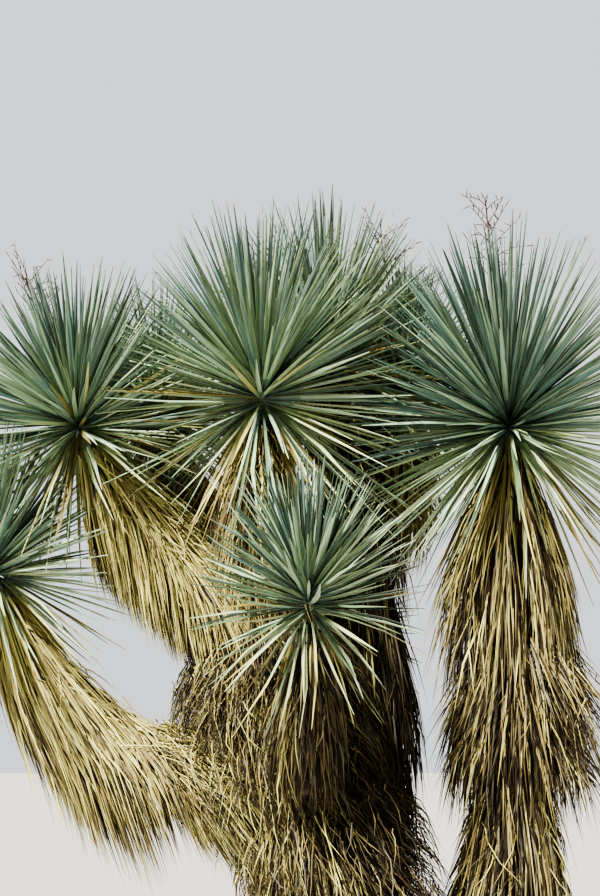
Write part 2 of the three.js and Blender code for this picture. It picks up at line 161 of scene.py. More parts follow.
def limbRadius(name, u, angle=0.0):
    u = np.clip(np.asarray(u, float), 0, 1)
    plain = mix(limbs[name]["root"], limbs[name]["tip"], u**taper)
    if name != "trunk":
        return plain
    fade = np.exp(-np.maximum(0, frameAt(lines[name], u)["point"][..., 2]) / flare["height"])
    return (plain + flare["radius"] * fade) * (1 + flare["depth"] * fade * np.cos(flare["lobes"] * angle))


probeShares = np.linspace(0, 1, 48)  # where the limbs are felt for, to keep leaves out of them
probes = {name: (frameAt(line, probeShares)["point"], limbRadius(name, probeShares))
          for name, line in lines.items()}


def depthIn(name, points, margin):  # how deep points lie within a limb's bark and the margin round it
    centres, radii = probes[name]
    offsets = points[..., None, :] - centres
    spans = np.linalg.norm(offsets, axis=-1)
    deepest = np.argmax(radii - spans, axis=-1)[..., None]
    away = np.take_along_axis(offsets, deepest[..., None], axis=-2)[..., 0, :]
    depth = radii[deepest[..., 0]] + margin - np.take_along_axis(spans, deepest, axis=-1)[..., 0]
    return depth, unit(away)


def pushOut(points, margin):  # moves points out of every limb
    for name in limbs:
        depth, away = depthIn(name, points, margin)
        points = points + away * np.maximum(0, depth)[..., None]
    return points


def newObject(name, data):
    made = bpy.data.objects.new(name, data)
    bpy.context.scene.collection.objects.link(made)
    return made


def place(piece, slot, *nodes):
    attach(piece, "root")
    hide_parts(*nodes)


# Finishes. Colours that have a place are plain and dealt out leaf by leaf.
def linear(red, green, blue):  # a colour seen on screen, 0 to 255, as the shader's own numbers
    seen = np.array([red, green, blue]) / 255
    return (*np.where(seen <= .04045, seen / 12.92, ((seen + .055) / 1.055) ** 2.4), 1.0)


def newGroup(name, inputs, outputs):
    group = bpy.data.node_groups.new(name, "ShaderNodeTree")
    for label, value in inputs.items():
        socket = group.interface.new_socket(label, in_out="INPUT", socket_type="NodeSocketFloat")
        socket.default_value = value
    for label, kind in outputs.items():
        group.interface.new_socket(label, in_out="OUTPUT", socket_type=kind)
    return group, group.nodes.new("NodeGroupInput"), group.nodes.new("NodeGroupOutput")


def mathNode(tree, operation, a, b):  # a sum of two values or sockets
    node = tree.nodes.new("ShaderNodeMath")
    node.operation = operation
    for slot, value in zip(node.inputs, (a, b)):
        if isinstance(value, (int, float)):
            slot.default_value = value
        else:
            tree.links.new(value, slot)
    return node.outputs[0]


def noiseNode(tree, vector, detail, roughness=0.5):
    grain = tree.nodes.new("ShaderNodeTexNoise")
    grain.inputs["Scale"].default_value = 1.0
    grain.inputs["Detail"].default_value = detail
    grain.inputs["Roughness"].default_value = roughness
    tree.links.new(vector, grain.inputs["Vector"])
    return grain.outputs["Fac"]


def makeFibreGroup():  # long fibres that run up a leaf, felt as relief and seen as changing gloss
    group, given, result = newGroup(
        "leafFibre",
        {"Fibres": 26.0, "Streak Length": 5.0, "Relief": 0.3, "Height": 0.001, "Roughness": 0.5,
         "Variation": 0.15},
        {"Normal": "NodeSocketVector", "Roughness": "NodeSocketFloat"},
    )
    where = group.nodes.new("ShaderNodeUVMap")
    parts = group.nodes.new("ShaderNodeSeparateXYZ")
    joined = group.nodes.new("ShaderNodeCombineXYZ")
    group.links.new(where.outputs["UV"], parts.inputs[0])
    for axis, label in enumerate(("Fibres", "Streak Length")):
        scaled = mathNode(group, "MULTIPLY", parts.outputs[axis], given.outputs[label])
        group.links.new(scaled, joined.inputs[axis])
    grain = noiseNode(group, joined.outputs[0], 3.0)
    bump = group.nodes.new("ShaderNodeBump")
    group.links.new(grain, bump.inputs["Height"])
    group.links.new(given.outputs["Relief"], bump.inputs["Strength"])
    group.links.new(given.outputs["Height"], bump.inputs["Distance"])
    swing = mathNode(group, "MULTIPLY", mathNode(group, "SUBTRACT", grain, 0.5), given.outputs["Variation"])
    group.links.new(bump.outputs[0], result.inputs["Normal"])
    group.links.new(mathNode(group, "ADD", swing, given.outputs["Roughness"]), result.inputs["Roughness"])
    return group


fibreGroup = makeFibreGroup()
waxyShine, dryShine = 0.4, 0.25  # how strongly live leaves, and dead leaves and bark, mirror the light


def newMaterial(name, specular):
    material = bpy.data.materials.new(name)
    material.use_nodes = True
    shader = material.node_tree.nodes["Principled BSDF"]
    shader.inputs["Specular IOR Level"].default_value = specular
    return material, material.node_tree, shader


def leafMaterial(name, colour, fibre, specular):
    material, tree, shader = newMaterial(name, specular)
    shader.inputs["Base Color"].default_value = colour
    grain = tree.nodes.new("ShaderNodeGroup")
    grain.node_tree = fibreGroup
    for label, value in fibre.items():
        grain.inputs[label].default_value = value
    for label in ("Normal", "Roughness"):
        tree.links.new(grain.outputs[label], shader.inputs[label])
    return material


waxyFibre = {"Fibres": 14.0, "Streak Length": 3.0, "Relief": 0.35, "Roughness": 0.46, "Variation": 0.2}
dryFibre = {"Fibres": 20.0, "Streak Length": 4.0, "Relief": 0.8, "Roughness": 0.82, "Variation": 0.2}

liveTints = {
    # The young leaves' tint, darkened partly as painted shade in the heart; it also paints shade at leaf
    # feet and in shaded heads
    "young": linear(75, 98, 88),
    "blue": linear(112, 139, 130),
    "pale": linear(174, 197, 170),
    "green": linear(112, 133, 103),
    "old": linear(186, 200, 156),
    "yellowing": linear(204, 196, 134),
    "drying": linear(138, 126, 78),
    # Darker copies of the tints: painted shade at the feet of the leaves
    "painted_shade": linear(88, 112, 98),
    "pale_painted_shade": linear(130, 154, 137),
    "old_painted_shade": linear(140, 158, 118),
}
deadTints = {
    "gold": linear(152, 136, 91),
    "straw": linear(182, 170, 114),
    "pale": linear(224, 219, 150),
    "tan": linear(102, 90, 66),
    "brown": linear(54, 47, 36),
    "grey": linear(126, 121, 106),
}
liveMaterials = [leafMaterial(f"leaf_{name}", colour, waxyFibre, waxyShine)
                 for name, colour in liveTints.items()]
deadMaterials = [leafMaterial(f"dead_leaf_{name}", colour, dryFibre, dryShine)
                 for name, colour in deadTints.items()]
marginMaterial = leafMaterial("leaf_margin", linear(210, 208, 168), waxyFibre, waxyShine)
spineMaterial = leafMaterial("leaf_spine", linear(96, 60, 40), waxyFibre, waxyShine)
print("leaf finishes made")


# Blades: every leaf is a closed strip. A section is drawn round its centre line: how far each
# corner is across, how far it is folded up, and how far it is down at the keel.
liveSection = [(-1, 1, 0), (-.9, .86, .12), (0, 0, 0), (.9, .86, .12), (1, 1, 0), (0, 0, 1)]
deadSection = [(-1, 1, 0), (1, 1, 0), (0, 0, 1)]
marginFaces = [0, 3]  # the faces of a live section that show the blade's pale margins
grainShift = np.array([0.37, 0.71])  # how far the grain moves on from one leaf to the next


def makeBlades(name, centre, across, keel, half, fold, thick, stations, section, faceSlots, materials):
    # centre, across and keel are arrays of leaves by stations, the last station is the tip
    section = np.array(section, float)
    leaves, rings = centre.shape[:2]
    corners = len(section)
    spots = (centre[:, :-1, None]
             + across[:, :-1, None] * (section[:, 0] * half[:, :-1, None])[..., None]
             + keel[:, :-1, None] * (section[:, 2] * thick[:, :-1, None]
                                     - section[:, 1] * (fold * half)[:, :-1, None])[..., None])
    perLeaf = corners * (rings - 1) + 1
    vertices = np.concatenate([spots.reshape(leaves, -1, 3), centre[:, -1:]], axis=1).reshape(-1, 3)
    corner = np.arange(corners)
    after = (corner + 1) % corners
    ring = np.arange(rings - 2)[:, None] * corners
    following = ring + corners
    strip = np.stack([ring + corner, ring + after, following + after, following + corner], axis=-1)
    lastRing = corners * (rings - 2)
    tip = np.stack([corner + lastRing, after + lastRing, np.full(corners, perLeaf - 1)], axis=-1)
    first = (np.arange(leaves) * perLeaf)[:, None, None]
    quads = (strip.reshape(1, -1, 4) + first).reshape(-1, 4)
    tips = (tip[None] + first).reshape(-1, 3)
    feet = (corner[::-1][None, None] + first).reshape(-1, corners)
    mesh = bpy.data.meshes.new(name)
    mesh.from_pydata(vertices, [], quads.tolist() + tips.tolist() + feet.tolist())
    slots = np.concatenate([part.ravel() for part in faceSlots(leaves, rings, corners)])
    mesh.polygons.foreach_set("material_index", slots.astype(np.int32))
    # u runs round the blade and v along it, shifted from leaf to leaf so that no two show one grain
    u = np.stack([corner, corner + 1, corner + 1, corner], axis=-1) / corners
    v = np.stack([stations[:-2], stations[:-2], stations[1:-1], stations[1:-1]], axis=-1)
    shift = np.arange(leaves)[:, None, None, None] * grainShift
    uvQuads = np.stack(np.broadcast_arrays(u[None], v[:, None]), axis=-1).reshape(1, -1, 4, 2) + shift
    uTips = np.stack([corner, corner + 1, corner + .5], axis=-1) / corners
    vTips = np.broadcast_to([stations[-2], stations[-2], 1], (corners, 3))
    uvTips = np.stack([uTips, vTips], axis=-1)[None] + shift
    uvFeet = np.stack([corner[::-1] / corners, np.zeros(corners)], axis=-1)[None, None] + shift
    layer = mesh.uv_layers.new(name="grain")
    layer.data.foreach_set("uv", np.concatenate([part.ravel() for part in (uvQuads, uvTips, uvFeet)]))
    for material in materials:
        mesh.materials.append(material)
    mesh.validate()
    return newObject(name, mesh)


# Heads: the limb that each ends, its leaves' reach and count, and how far its axis is turned. More keys
# take the place of liveLeaf's.
heads = {
    "head_right": {
        "limb": "right_stem", "reach": .632, "leaves": 720, "turn": (-.13, -.05, 0),
        "thin": .12, "blue": .56, "painted_shade": .3, "dull": .2,
    },
    "head_centre": {
        "limb": "centre_limb", "reach": .602, "leaves": 720, "turn": (0, -.1, 0),
        "thin": .55, "blue": .28, "dull": .35, "aged": .3,
    },
    "head_back_centre": {
        "limb": "back_stem", "reach": .588, "leaves": 640, "turn": (.12, .05, .2),
        "thin": .15, "blue": .28, "dull": .4, "aged": .5,
    },
    "head_left_high": {
        "limb": "left_high_limb", "reach": .515, "leaves": 640, "turn": (0, -.1, .9),
        "painted_shade": .15, "dull": .25, "aged": .2,
    },
    "head_left_low": {
        "limb": "left_low_limb_outer", "reach": .470, "leaves": 580, "turn": (0, -.1, .4),
        "painted_shade": .3,
    },
    "head_left_back": {
        "limb": "left_back_limb", "reach": .470, "leaves": 500, "turn": (0, .1, .4),
        "thin": 0, "blue": .2, "dull": .5, "aged": .6,
    },
    "head_right_back": {
        "limb": "right_back_limb", "reach": .455, "leaves": 520, "turn": (.05, .1, 0),
        "thin": 0, "aged": .5,
    },
    "head_front": {
        "limb": "front_limb", "reach": .395, "leaves": 380, "turn": (0, -.12, .2),
        "widthBy": .84, "lowWidth": .56, "crowding": .7, "thin": .5, "short": .17, "curved": 2.4,
        "arch": 2.2, "blue": .04, "painted_shade": .3, "dull": .2, "aged": .15,
    },
    "head_low_back": {
        "limb": "low_back_limb", "reach": .400, "leaves": 430, "turn": (0, .3, .2),
    },
}
# A head's bud: its height, the stretch of it that leaves root on, and how far from its axis they do
bud = {"height": .165, "firstLeaf": .14, "lastLeaf": .78, "rootedAt": .016}
# What holds for every live leaf. thin is the share of the lower leaves that is left out, short is what
# those that point down lose in length, and limp is how far up the head leaves droop. blue is the share
# of blue leaves in the middle of a head, painted_shade that of dark ones, painted shade for a head that
# stands in shadow, dull that of green ones low down, and aged that of old ones further up.
liveLeaf = {
    "width": .0130, "widthBy": 1, "lowWidth": .72, "sizes": (.8, 1.15), "heartSize": .75,
    "thick": .0024, "fold": .42, "folds": (.5, 1.6), "steepest": 1.5, "lowest": -1.24,
    "crowding": .5, "uneven": .9, "jitter": .16, "thin": .35, "variety": .12, "short": 0,
    "lowLengths": (.85, 1.1), "heartLength": .8, "limp": .4, "droop": .045, "arch": 1, "bow": .03,
    "curved": 1, "wave": .003, "waves": 6, "roll": .35, "rolls": (.4, 1.4),
    "blue": .38, "painted_shade": 0, "dull": 0, "aged": 0,
}
# Where along a leaf its rings are, and the shares of its width and thickness there
liveStations = np.array([0, .09, .23, .57, .97, 1])
liveWidths = np.array([.75, .72, .93, .94, .17, 0])
liveThickness = np.array([1.7, 1.3, 1.1, .9, .4, 0])
# How long leaves are that point down, level and up: the climb of their way, and the share of the reach
lengthClimbs = (-1, -.55, -.1, .25, .7, .9, 1)
climbShares = (.80, .86, .78, .77, .82, .95, 1)
lengthShares = (.64, .82, 1)  # the lengths that a leaf is tried at, to keep it out of limbs and ground


def headFrame(head):
    end = frameAt(lines[head["limb"]], 1.0)
    axis = unit(end["along"] + np.array(head["turn"]))
    side = unit(np.cross([0, 1, 0], axis))
    return end["point"], axis, side, np.cross(axis, side)


# The two darker tints that a leaf of each tint starts with at its foot: painted shade at the foot of every
# leaf, near the heart of the head
paintedShadeFootTints = {
    "young": ("young", "young"), "blue": ("young", "painted_shade"), "pale": ("blue", "pale_painted_shade"),
    "green": ("young", "painted_shade"), "old": ("green", "old_painted_shade"), "yellowing": ("old", "old"),
    "drying": ("drying", "drying"),
}
tintSlots = {name: slot for slot, name in enumerate(liveTints)}
paintedShadeFootSlots = np.array([[tintSlots[name] for name in pair] for pair in paintedShadeFootTints.values()])
# Where a head's zones of leaves begin or end, as shares of the way up, and the odds of each tint there
zones = {"drying": .06, "old": .28, "fading": .2, "aged": .55, "heart": .9}
odds = {
    "pale": .34, "young": .7, "old": .3, "drying": .5, "yellowing": .2, "agedOld": .4, "agedYellow": .65,
}


def liveSlots(leaves, rings, corners, tints):
    strip = np.repeat(tints[:, None, None], rings - 2, axis=1) + np.zeros((1, 1, corners), int)
    # The first two rings of every leaf take darker tints: painted shade at its foot
    strip[:, :2] = paintedShadeFootSlots[tints][..., None]
    strip[..., marginFaces] = len(liveTints)
    tip = np.full((leaves, corners), len(liveTints) + 1)
    return strip, tip, tints


def dealLiveTints(share, head, random):  # old leaves low down, blue-green young ones in the heart, darker partly as painted shade
    young, blue, pale, green, old, yellowing, drying = range(len(paintedShadeFootTints))
    draw = random.random(len(share))
    middle = np.where(draw < head["blue"], blue, np.where(draw < head["blue"] + odds["pale"], pale, green))
    # Painted shade: a head that stands in shadow gets a share of dark leaves
    middle = np.where(random.random(len(share)) < head["painted_shade"], young, middle)
    tints = np.where(share > zones["heart"], np.where(draw < odds["young"], young, blue), middle)
    lower = np.where(draw < odds["old"], old, np.where(draw < odds["old"] + head["dull"], green, pale))
    tints = np.where(share < zones["old"], lower, tints)
    tints = np.where((share < zones["drying"]) & (draw > odds["drying"]), drying, tints)
    tints = np.where((share < zones["drying"]) & (draw < odds["yellowing"]), yellowing, tints)
    fading = head["aged"] * np.clip((zones["aged"] - share) / zones["fading"], 0, 1)
    aged = np.where(draw < odds["agedOld"], old, np.where(draw < odds["agedYellow"], yellowing, drying))
    return np.where(random.random(len(share)) < fading, aged, tints)


def growHead(name):
    head = {**liveLeaf, **heads[name]}
    foot, axis, side, front = headFrame(head)
    random = randomFor(name)
    count = head["leaves"]
    share = (np.arange(count) + .5) / count
    turn = np.arange(count) * goldenAngle + head["uneven"] * (random.random(count) - .5)
    climb = share * (1 + head["crowding"] * (1 - share))  # leaves stand closer together towards the top
    sine = mix(math.sin(head["lowest"]), math.sin(head["steepest"]), climb)
    sine = np.clip(sine + head["jitter"] * (random.random(count) - .5), -.95, .999)
    cosine = np.sqrt(1 - sine**2)
    out = side * np.cos(turn)[:, None] + front * np.sin(turn)[:, None]
    along = out * cosine[:, None] + axis * sine[:, None]
    keel = out * sine[:, None] - axis * cosine[:, None]
    rise = bud["height"] * mix(bud["firstLeaf"], bud["lastLeaf"], share)
    low = np.clip(1 - share / head["limp"], 0, 1)  # 1 for the lowest leaf, 0 from the middle up
    rooted = mix(bud["rootedAt"], limbs[head["limb"]]["tip"], low)  # how far each root is from the axis
    root = foot + axis * rise[:, None] + out * rooted[:, None]
    length = head["reach"] * (1 - head["variety"] * random.random(count)) - rise * np.maximum(0, sine) / 2
    length *= np.interp(along[:, 2], lengthClimbs, climbShares)
    length *= np.where(along[:, 2] < -.2, mix(*head["lowLengths"], random.random(count)), 1)
    length *= np.where(share > .97, mix(1, head["heartLength"], (share - .97) / .03), 1)
    length *= 1 - head["short"] * np.clip(-1.6 * along[:, 2], 0, 1)
    droop = head["droop"] * head["arch"] * low * random.random(count) ** 1.5 * 2.5
    flat = np.cross(along, keel)
    bow = head["bow"] * head["curved"] * random.standard_normal((count, 2)) * (1 + low)[:, None]
    wave = head["wave"] * random.standard_normal(count) * low * 2
    phase = random.random(count) * head["waves"]
    s = liveStations[None, :, None]

    def line(lengths):
        reach = lengths[:, None, None]
        bend = flat[:, None] * bow[:, :1, None] + keel[:, None] * bow[:, 1:, None]
        ripple = flat[:, None] * wave[:, None, None] * np.sin(head["waves"] * s + phase[:, None, None]) * s
        way = along[:, None] * s + bend * s**2 - up * droop[:, None, None] * s**2
        return root[:, None] + reach * way + ripple

    fitting = np.zeros(count)  # 0 for a leaf that fits at none of them
    for part in lengthShares:
        centre = line(length * part)[:, 2:]
        depths = [depthIn(limb, centre, 0)[0].max(axis=1) for limb in limbs]
        clear = (np.max(depths, axis=0) < 0) & (centre[..., 2].min(axis=1) > groundGap)
        fitting[clear] = part
    thinned = head["thin"] * np.clip((.5 - sine) / .4, 0, 1)
    kept = (fitting > 0) & (random.random(count) > thinned)
    centre = line(length * fitting)
    roll = head["roll"] * random.standard_normal(count)[:, None, None] * mix(*head["rolls"], s)
    across = flat[:, None] * np.cos(roll) + keel[:, None] * np.sin(roll)
    tangent = unit(np.gradient(centre, axis=1))
    across = crossways(across, tangent)
    back = np.cross(across, tangent)
    size = mix(*head["sizes"], random.random(count)) * np.where(share > .95, head["heartSize"], 1)
    size *= mix(1, head["lowWidth"], low)
    half = head["width"] * head["widthBy"] / 2 * size[:, None] * liveWidths
    thick = head["thick"] * liveThickness * np.ones((count, 1))
    fold = head["fold"] * mix(*head["folds"], random.random((count, 1)))
    tints = dealLiveTints(share, head, random)
    piece = makeBlades(
        name + "_leaves", centre[kept], across[kept], back[kept], half[kept], fold[kept], thick[kept],
        liveStations, liveSection, lambda *sizes: liveSlots(*sizes, tints[kept]),
        [*liveMaterials, marginMaterial, spineMaterial])
    place(piece, "live_leaves", name)
    return int(kept.sum())


placed = {name: growHead(name) for name in heads}
print("live leaves:", placed)

# Skirts: the limb, the stretch that each covers from its upper end to its lower one, the radius of its
# thatch at the rim, its leaves' reach and count, how old they are, from 0 for golden to 1 for grey, and
# the share of them that are broken and lie across the others. More keys take the place of deadLeaf's.
skirts = {
    "skirt_right_upper": {
        "limb": "right_stem", "from": .99, "to": .765, "rim": .146, "reach": .43, "leaves": 1950,
        "age": .0, "mess": .03, "bulge": (-.35, 0, 0), "paintedShade": .19,
    },
    "skirt_right_middle": {
        "limb": "right_stem", "from": .775, "to": .60, "rim": .165, "reach": .36, "leaves": 1750,
        "age": .2, "mess": .10, "bulge": (.5, -.15, 0), "paintedShade": .28, "fan": 2.2,
    },
    "skirt_right_lower": {
        "limb": "right_stem", "from": .60, "to": .21, "rim": .165, "reach": .43, "leaves": 2600,
        "age": .35, "mess": .20, "paintedShade": .25,
    },
    "skirt_centre": {
        "limb": "centre_limb", "from": .98, "to": .12, "rim": .130, "reach": .36, "leaves": 1700,
        "age": .15, "mess": .3, "fan": 1.5,
    },
    "skirt_left_high": {
        "limb": "left_high_limb", "from": .98, "to": .12, "rim": .132, "reach": .40, "leaves": 2900,
        "age": .0, "mess": .08, "bleachAndPaintedLight": 1, "hang": .85, "under": 6, "short": .55, "paintedShade": -.3,
        "paintedShadeSide": (-.25, 0, -.45),
    },
    "skirt_left_low_outer": {
        "limb": "left_low_limb_outer", "from": .98, "to": 0, "rim": .122, "reach": .40, "leaves": 2700,
        "age": .0, "mess": .02, "bleachAndPaintedLight": .85, "hang": .68, "under": .3, "paintedShade": .08,
    },
    "skirt_left_low_inner": {
        "limb": "left_low_limb_inner", "from": 1, "to": .3, "rim": .132, "reach": .35, "leaves": 2300,
        "age": .3, "mess": .30, "bleachAndPaintedLight": .8, "hang": .5, "under": .3, "widthBy": .85,
    },
    "skirt_front": {
        "limb": "front_limb", "from": .98, "to": .45, "rim": .096, "reach": .22, "leaves": 900,
        "age": .0, "mess": .14, "paintedShade": .22, "paintedShadeSide": (.9, -.5, 0),
    },
    "skirt_back_upper": {
        "limb": "back_stem", "from": .99, "to": .69, "rim": .128, "reach": .40, "leaves": 1400,
        "age": .0, "mess": .35, "bleachAndPaintedLight": .5, "paintedShadeSide": (.45, -.45, 0),
    },
    "skirt_back_lower": {
        "limb": "back_stem", "from": .7, "to": .2, "rim": .158, "reach": .42, "leaves": 1600,
        "age": .70, "mess": .12, "paintedShadeSide": (.45, -.45, 0),
    },
    "skirt_left_back": {
        "limb": "left_back_limb", "from": .98, "to": .3, "rim": .118, "reach": .38, "leaves": 1400,
        "age": .0, "mess": .35, "bleachAndPaintedLight": .5,
    },
    "skirt_right_back": {
        "limb": "right_back_limb", "from": .98, "to": .40, "rim": .108, "reach": .30, "leaves": 1100,
        "age": .0, "mess": .25, "bleachAndPaintedLight": .7, "bulge": (.45, -.2, 0), "paintedShade": -.3,
    },
    "skirt_low_back": {
        "limb": "low_back_limb", "from": .98, "to": .3, "rim": .096, "reach": .33, "leaves": 950,
        "age": .30, "mess": .06,
    },
    "skirt_trunk_upper": {
        "limb": "trunk", "from": 1, "to": .745, "rim": .215, "reach": .32, "leaves": 5200,
        "age": .40, "mess": .68, "widthBy": .74, "bulge": (-.42, .1, 0), "swellBy": .3, "paintedShade": .25,
        "paintedShadeSide": (.7, .2, 0),
    },
    "skirt_trunk_middle": {
        "limb": "trunk", "from": .79, "to": .5, "rim": .235, "reach": .34, "leaves": 4000,
        "age": .50, "mess": .42, "widthBy": .74, "bulge": (.18, -.25, 0), "swellBy": .3, "paintedShade": .17,
        "paintedShadeSide": (.85, .25, 0),
    },
    "skirt_trunk_lower": {
        "limb": "trunk", "from": .51, "to": .23, "rim": .215, "reach": .40, "leaves": 2200,
        "age": .60, "mess": .2, "paintedShade": .08, "paintedShadeSide": (.5, .1, 0),
    },
}
# What holds for every dead leaf. hang is how far a skirt on a level limb falls away from it, under how
# much more so below the limb, and short what leaves there lose in length. bulge swells the thatch
# towards one way. paintedShade deals darker tints as painted shade, and paler ones as painted light where
# it is below 0, and paintedShadeSide paints that shade more strongly on the side that faces its way.
# bleachAndPaintedLight deals pale ones, partly as sun-bleached leaves and partly as painted light.
deadLeaf = {
    "width": .0058, "widthBy": 1, "sizes": (.6, 1.3), "brokenSize": .58, "thick": .0018,
    "thinning": (1.3, .5), "folds": (.15, 1.1), "variety": .4, "bits": (.07, .22), "short": 0,
    "hang": .55, "under": .6, "spread": .10, "fan": 1, "brokenSpread": .1, "bulge": (0, 0, 0),
    "swellBy": .75, "uneven": .6, "locks": 13, "lockSkew": .37, "pull": .28, "sway": .045,
    "sways": (.03, .09), "brokenSway": .24, "curl": .08, "brokenCurl": .42, "twist": .8,
    "firstTwist": .6, "crinkle": .0012, "bleachAndPaintedLight": .1, "paintedShade": 0, "paintedShadeSide": (0, 0, 0),
}
deadStations = np.array([0, .1, .3, .62, 1])
deadWidths = np.array([1.3, 1.12, 1, .78, 0])
# A skirt's thatch: how far it stands off the bark at its neck and at least further down, and the share
# of the stretch that leaves root on
thatch = {"neck": .017, "swell": .008, "rooted": .85}


def thatchRadius(skirt, u):
    neck = limbRadius(skirt["limb"], u) + thatch["neck"]
    done = np.clip((u - skirt["from"]) / (skirt["to"] - skirt["from"]), 0, 1)
    swelling = np.sin(np.minimum(1, done / skirt["swellBy"]) * math.pi / 2)
    return np.maximum(neck + thatch["swell"], mix(neck, skirt["rim"], swelling)), neck


def dealDeadTints(age, bleachAndPaintedLight, layer, random):  # the outer leaves are bleached; the inner ones are dark, partly as old leaves and partly as painted shade deep in the thatch
    golden = np.array([.25, .36, .14, .15, .10, .0])  # the shares of the tints, in deadTints' order
    pale = np.array([.08, .42, .40, .06, .04, .0])
    grey = np.array([.10, .26, .14, .18, .12, .20])
    inner = np.array([.04, .04, .0, .32, .50, .10])
    # Pale tints: partly sun-bleached leaves, partly painted light on skirts that should look sunlit
    outer = mix(mix(golden, pale, bleachAndPaintedLight), grey, np.clip(age, 0, 1)[:, None])
    chances = np.cumsum(mix(inner, outer, np.clip(layer * 2.2 - .85, 0, 1)[:, None]), axis=1)
    return np.minimum((random.random(len(layer))[:, None] > chances).sum(axis=1), len(deadTints) - 1)


def facing(out, way):  # how far each direction looks the given way, and 0 for those that look away
    return np.maximum(0, dot(out, np.array(way, float))[:, 0])


def growSkirt(name):
    skirt = {**deadLeaf, **skirts[name]}
    limb = skirt["limb"]
    line = lines[limb]
    random = randomFor(name)
    count = skirt["leaves"]
    share = (np.arange(count) + .5) / count
    u = mix(skirt["from"], skirt["to"], share * thatch["rooted"])
    turn = (np.arange(count) * goldenAngle + random.random(count) * skirt["uneven"]) % (2 * math.pi)
    length = skirt["reach"] * mix(1.05, 1 - skirt["variety"], random.random(count) ** 1.5)
    layer = random.random(count) ** .55  # 0 against the bark, 1 on the outside
    broken = random.random(count) < skirt["mess"]
    length = np.where(broken, mix(*skirt["bits"], random.random(count)), length)
    layer = np.where(broken, mix(.85, 1.1, layer), layer)
    middle = frameAt(line, u)
    # Leaves fall together in locks, which draw in to their own middle lines and sway as one
    locks = skirt["locks"]
    row = np.floor(share * 3 + .15 * np.sin(turn * 3))
    lock = np.floor(turn / (2 * math.pi) * locks + row * skirt["lockSkew"])
    lockTurn = (lock + .5 - row * skirt["lockSkew"]) * 2 * math.pi / locks
    lockDraw = random.random((locks + 2, 4, 2))[(lock % (locks + 2)).astype(int), row.astype(int) % 4]
    sway = ((lockDraw[:, 0] - .5) * skirt["sway"] * 2.4
            + random.standard_normal(count) * mix(*skirt["sways"], skirt["mess"]))
    sway += np.where(broken, random.standard_normal(count) * skirt["brokenSway"], 0)
    curl = random.standard_normal(count) * np.where(broken, skirt["brokenCurl"], skirt["curl"])
    out = middle["side"] * np.sin(turn)[:, None] + middle["front"] * np.cos(turn)[:, None]
    length = length * (1 - skirt["short"] * np.maximum(0, -out[:, 2]) * mix(.1, 1.4, share))
    # Painted shade: leaves take darker tints where a skirt lies in shade, more so on the side that faces
    # the given way, and paler ones, painted light, where the value is below 0
    paintedShade = skirt["paintedShade"] + facing(out, skirt["paintedShadeSide"])
    lying = thatchRadius(skirt, u)[0] * (1 + facing(out, skirt["bulge"])) * mix(.6, 1, random.random(count))
    spot = middle["point"] + out * np.where(broken, lying, limbRadius(limb, u) - .004)[:, None]
    centre = [spot]
    spreading = (skirt["spread"] * skirt["fan"] * layer * random.random(count)
                 * mix(.6, 2.2, lockDraw[:, 1]))
    spreading += np.where(broken, skirt["brokenSpread"] * random.random(count), 0)
    for last, s in zip(deadStations, deadStations[1:]):
        stride = length * (s - last)
        here = frameAt(line, u)
        back = -here["along"]
        level = 1 - np.abs(here["along"][:, 2:])
        dense, neck = thatchRadius(skirt, u)
        dense = dense * (1 + facing(out, skirt["bulge"]))
        sag = ((dense - neck) * level[:, 0] * min(1, s / .3))[:, None]
        offset = spot - here["point"] + up * sag
        out = crossways(offset, here["along"])
        aside = np.cross(back, out)
        bark = limbRadius(limb, u)
        wanted = mix(bark, dense, layer * min(1, s / .25)) + spreading * length * s
        outward = np.clip((wanted - dot(offset, out)[:, 0]) / stride, -.3, 1.0)[:, None]
        under = 1 + skirt["under"] * np.maximum(0, -out[:, 2:])
        hang = np.minimum(.95, level**.8 * skirt["hang"] * under * mix(.5, 1.5, s))
        drawn = (turn - lockTurn) * dense * skirt["pull"] * 2 * s / length
        slant = (sway + curl * s + np.where(broken, 0, drawn))[:, None]
        heading = unit(back * (1 - .7 * hang) - up * hang + out * outward * (1 - .6 * hang) + aside * slant)
        spot = pushOut(spot + heading * stride[:, None], .006 + .02 * layer * s)
        u = u - (dot(heading, back)[:, 0] * stride) / line["length"]
        centre.append(spot)
    centre = np.stack(centre, axis=1)
    crinkle = skirt["crinkle"] * mix(1, 3, skirt["age"]) * mix(1, .7, broken)[:, None, None]
    centre[:, 2:] += random.standard_normal(centre[:, 2:].shape) * crinkle
    kept = centre[..., 2].min(axis=1) > groundGap
    tangent = unit(np.gradient(centre, axis=1))
    face = centre - frameAt(line, np.clip(u, 0, 1))["point"][:, None]
    flat = unit(np.cross(tangent, face))
    twist = (random.standard_normal(count)[:, None] * skirt["firstTwist"]
             + random.standard_normal(count)[:, None] * skirt["twist"] * deadStations)[..., None]
    across = crossways(flat * np.cos(twist) + np.cross(tangent, flat) * np.sin(twist), tangent)
    keel = np.cross(across, tangent)
    size = mix(*skirt["sizes"], random.random(count)) * mix(1, skirt["brokenSize"], broken)
    half = skirt["width"] * skirt["widthBy"] / 2 * size[:, None] * deadWidths
    fold = mix(*skirt["folds"], random.random((count, 1)))
    thick = skirt["thick"] * mix(*skirt["thinning"], deadStations) * np.ones((count, 1))
    age = skirt["age"] + .5 * (share - .35) + .3 * (lockDraw[:, 1] - .5)
    # Outer leaves get paler tints and inner ones darker, partly as painted shade in the thatch, and the
    # painted shade above darkens them further
    shown = layer + .2 * (lockDraw[:, 0] - .5) - .2 * broken - paintedShade
    tints = dealDeadTints(age, skirt["bleachAndPaintedLight"], shown, random)[kept]

